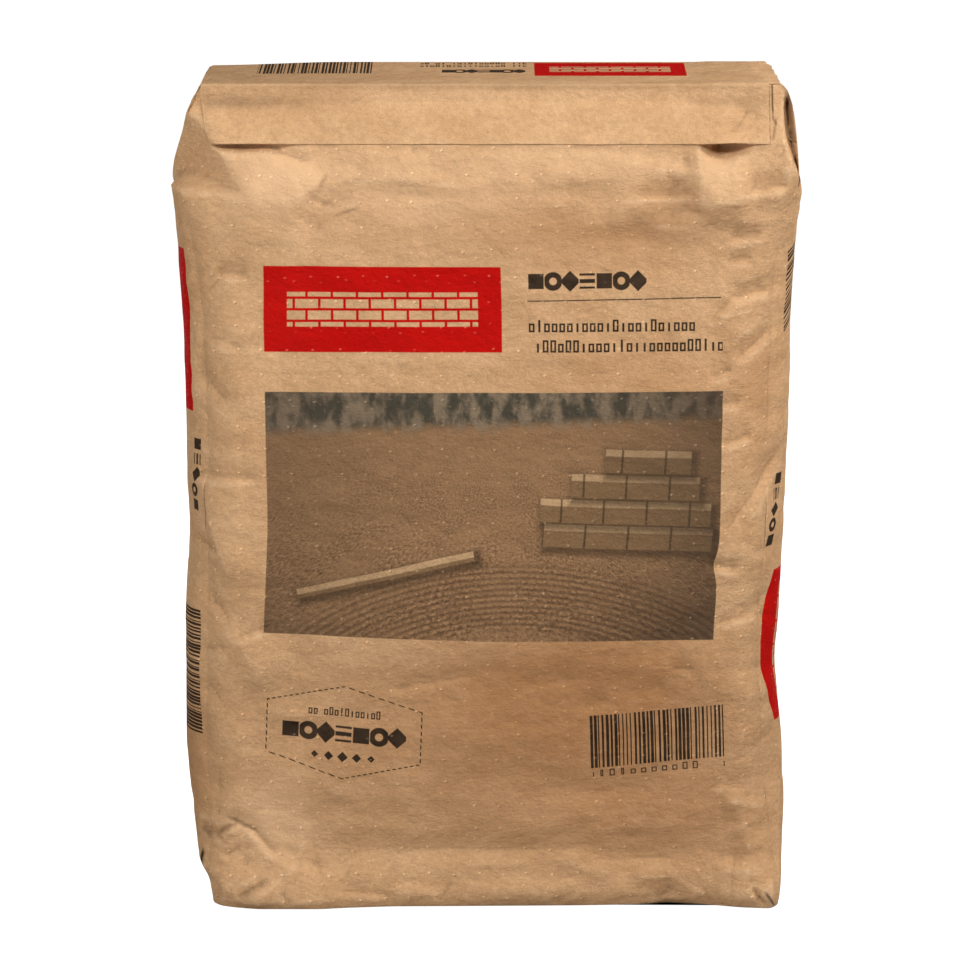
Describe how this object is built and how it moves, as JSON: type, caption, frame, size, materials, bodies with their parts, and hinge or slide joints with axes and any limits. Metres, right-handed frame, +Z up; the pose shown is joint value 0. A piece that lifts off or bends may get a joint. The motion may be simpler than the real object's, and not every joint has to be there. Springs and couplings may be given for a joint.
{
  "type": "cement bag",
  "caption": "Filled paper valve sack of cement standing upright on its flat block end, with pasted cover patches and a creased top.",
  "frame": {"origin": "middle of the sack's footprint, on the floor that it stands on", "axes": "+Z up along the sack's height, -Y out of the printed front wall, +X towards the valve corner"},
  "size_m": [0.3908, 0.1249, 0.5299],
  "materials": {
    "kraft_sack": "matt printed kraft paper with fine air holes",
    "kraft_patch": "matt kraft paper",
    "kraft_sleeve": "matt pale kraft paper"
  },
  "bodies": {
    "root": {"sack": "kraft_sack", "top_cover_patch": "kraft_patch", "bottom_cover_patch": "kraft_patch", "valve_sleeve": "kraft_sleeve"}
  },
  "joints": []
}
